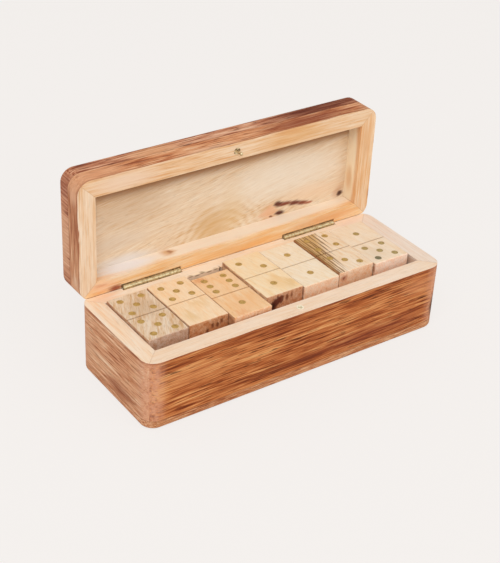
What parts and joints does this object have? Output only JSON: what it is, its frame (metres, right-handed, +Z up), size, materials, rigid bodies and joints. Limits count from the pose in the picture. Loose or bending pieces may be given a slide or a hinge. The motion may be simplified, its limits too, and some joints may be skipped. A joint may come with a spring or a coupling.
{
  "type": "domino storage box",
  "caption": "Wooden box with mitred corners and a hinged lid that stands open, holding a full set of wooden dominoes with brass pips.",
  "frame": {"origin": "middle of the underside of the base", "axes": "+X along the length of the box to the right, +Y to the back where the hinges are, +Z up"},
  "size_m": [0.2, 0.0925, 0.1145],
  "materials": {
    "wall_wood": "satin oiled",
    "board_wood": "satin oiled",
    "rail_wood": "satin oiled",
    "domino_wood": "smooth",
    "pip_brass": "dull",
    "hinge_brass": "aged",
    "catch_brass": "polished"
  },
  "bodies": {
    "base": {"bottom_panel": "board_wood", "front_wall": "wall_wood", "back_wall": "wall_wood", "left_wall": "wall_wood", "right_wall": "wall_wood", "left_hinge_base_leaf": "hinge_brass", "right_hinge_base_leaf": "hinge_brass", "left_hinge_pin": "hinge_brass", "right_hinge_pin": "hinge_brass", "catch_bush": "catch_brass"},
    "lid": {"lid_top_panel": "board_wood", "lid_front_rail": "rail_wood", "lid_back_rail": "rail_wood", "lid_left_rail": "rail_wood", "lid_right_rail": "rail_wood", "left_hinge_lid_leaf": "hinge_brass", "right_hinge_lid_leaf": "hinge_brass", "catch_stud": "catch_brass"},
    "domino_0_0": {"domino_0_0": "domino_wood"},
    "domino_3_3": {"domino_3_3": "domino_wood"},
    "domino_5_4": {"domino_5_4": "domino_wood"},
    "domino_5_5": {"domino_5_5": "domino_wood", "pips_5_5": "pip_brass"},
    "domino_1_0": {"domino_1_0": "domino_wood"},
    "domino_4_0": {"domino_4_0": "domino_wood"},
    "domino_6_0": {"domino_6_0": "domino_wood"},
    "domino_5_0": {"domino_5_0": "domino_wood", "pips_5_0": "pip_brass"},
    "domino_2_0": {"domino_2_0": "domino_wood"},
    "domino_4_1": {"domino_4_1": "domino_wood"},
    "domino_6_2": {"domino_6_2": "domino_wood"},
    "domino_6_1": {"domino_6_1": "domino_wood", "pips_6_1": "pip_brass"},
    "domino_2_2": {"domino_2_2": "domino_wood"},
    "domino_4_2": {"domino_4_2": "domino_wood"},
    "domino_6_3": {"domino_6_3": "domino_wood"},
    "domino_2_1": {"domino_2_1": "domino_wood", "pips_2_1": "pip_brass"},
    "domino_3_0": {"domino_3_0": "domino_wood"},
    "domino_4_4": {"domino_4_4": "domino_wood"},
    "domino_6_4": {"domino_6_4": "domino_wood"},
    "domino_1_1": {"domino_1_1": "domino_wood", "pips_1_1": "pip_brass"},
    "domino_3_1": {"domino_3_1": "domino_wood"},
    "domino_5_2": {"domino_5_2": "domino_wood"},
    "domino_6_5": {"domino_6_5": "domino_wood"},
    "domino_4_3": {"domino_4_3": "domino_wood", "pips_4_3": "pip_brass"},
    "domino_3_2": {"domino_3_2": "domino_wood"},
    "domino_5_3": {"domino_5_3": "domino_wood"},
    "domino_6_6": {"domino_6_6": "domino_wood"},
    "domino_5_1": {"domino_5_1": "domino_wood", "pips_5_1": "pip_brass"}
  },
  "joints": [
    {"name": "lid_hinge", "type": "hinge", "parent": "base", "child": "lid", "pos_m": [0, 0.0349, 0.0431], "axis": [-1, 0, 0], "range_deg": [-90, 0]},
    {"name": "lift_0_0", "type": "slide", "parent": "base", "child": "domino_0_0", "axis": [0, 0, 1], "range_m": [0, 0.0395]},
    {"name": "lift_3_3", "type": "slide", "parent": "domino_0_0", "child": "domino_3_3", "axis": [0, 0, 1], "range_m": [0, 0.0297]},
    {"name": "lift_5_4", "type": "slide", "parent": "domino_3_3", "child": "domino_5_4", "axis": [0, 0, 1], "range_m": [0, 0.0199]},
    {"name": "lift_5_5", "type": "slide", "parent": "domino_5_4", "child": "domino_5_5", "axis": [0, 0, 1], "range_m": [0, 0.0101]},
    {"name": "lift_1_0", "type": "slide", "parent": "base", "child": "domino_1_0", "axis": [0, 0, 1], "range_m": [0, 0.0395]},
    {"name": "lift_4_0", "type": "slide", "parent": "domino_1_0", "child": "domino_4_0", "axis": [0, 0, 1], "range_m": [0, 0.0295]},
    {"name": "lift_6_0", "type": "slide", "parent": "domino_4_0", "child": "domino_6_0", "axis": [0, 0, 1], "range_m": [0, 0.0196]},
    {"name": "lift_5_0", "type": "slide", "parent": "domino_6_0", "child": "domino_5_0", "axis": [0, 0, 1], "range_m": [0, 0.0097]},
    {"name": "lift_2_0", "type": "slide", "parent": "base", "child": "domino_2_0", "axis": [0, 0, 1], "range_m": [0, 0.0395]},
    {"name": "lift_4_1", "type": "slide", "parent": "domino_2_0", "child": "domino_4_1", "axis": [0, 0, 1], "range_m": [0, 0.0296]},
    {"name": "lift_6_2", "type": "slide", "parent": "domino_4_1", "child": "domino_6_2", "axis": [0, 0, 1], "range_m": [0, 0.0197]},
    {"name": "lift_6_1", "type": "slide", "parent": "domino_6_2", "child": "domino_6_1", "axis": [0, 0, 1], "range_m": [0, 0.0098]},
    {"name": "lift_2_2", "type": "slide", "parent": "base", "child": "domino_2_2", "axis": [0, 0, 1], "range_m": [0, 0.0395]},
    {"name": "lift_4_2", "type": "slide", "parent": "domino_2_2", "child": "domino_4_2", "axis": [0, 0, 1], "range_m": [0, 0.0293]},
    {"name": "lift_6_3", "type": "slide", "parent": "domino_4_2", "child": "domino_6_3", "axis": [0, 0, 1], "range_m": [0, 0.019]},
    {"name": "lift_2_1", "type": "slide", "parent": "domino_6_3", "child": "domino_2_1", "axis": [0, 0, 1], "range_m": [0, 0.0088]},
    {"name": "lift_3_0", "type": "slide", "parent": "base", "child": "domino_3_0", "axis": [0, 0, 1], "range_m": [0, 0.0395]},
    {"name": "lift_4_4", "type": "slide", "parent": "domino_3_0", "child": "domino_4_4", "axis": [0, 0, 1], "range_m": [0, 0.0294]},
    {"name": "lift_6_4", "type": "slide", "parent": "domino_4_4", "child": "domino_6_4", "axis": [0, 0, 1], "range_m": [0, 0.0193]},
    {"name": "lift_1_1", "type": "slide", "parent": "domino_6_4", "child": "domino_1_1", "axis": [0, 0, 1], "range_m": [0, 0.0092]},
    {"name": "lift_3_1", "type": "slide", "parent": "base", "child": "domino_3_1", "axis": [0, 0, 1], "range_m": [0, 0.0395]},
    {"name": "lift_5_2", "type": "slide", "parent": "domino_3_1", "child": "domino_5_2", "axis": [0, 0, 1], "range_m": [0, 0.0292]},
    {"name": "lift_6_5", "type": "slide", "parent": "domino_5_2", "child": "domino_6_5", "axis": [0, 0, 1], "range_m": [0, 0.0189]},
    {"name": "lift_4_3", "type": "slide", "parent": "domino_6_5", "child": "domino_4_3", "axis": [0, 0, 1], "range_m": [0, 0.0086]},
    {"name": "lift_3_2", "type": "slide", "parent": "base", "child": "domino_3_2", "axis": [0, 0, 1], "range_m": [0, 0.0395]},
    {"name": "lift_5_3", "type": "slide", "parent": "domino_3_2", "child": "domino_5_3", "axis": [0, 0, 1], "range_m": [0, 0.0294]},
    {"name": "lift_6_6", "type": "slide", "parent": "domino_5_3", "child": "domino_6_6", "axis": [0, 0, 1], "range_m": [0, 0.0192]},
    {"name": "lift_5_1", "type": "slide", "parent": "domino_6_6", "child": "domino_5_1", "axis": [0, 0, 1], "range_m": [0, 0.009]}
  ]
}
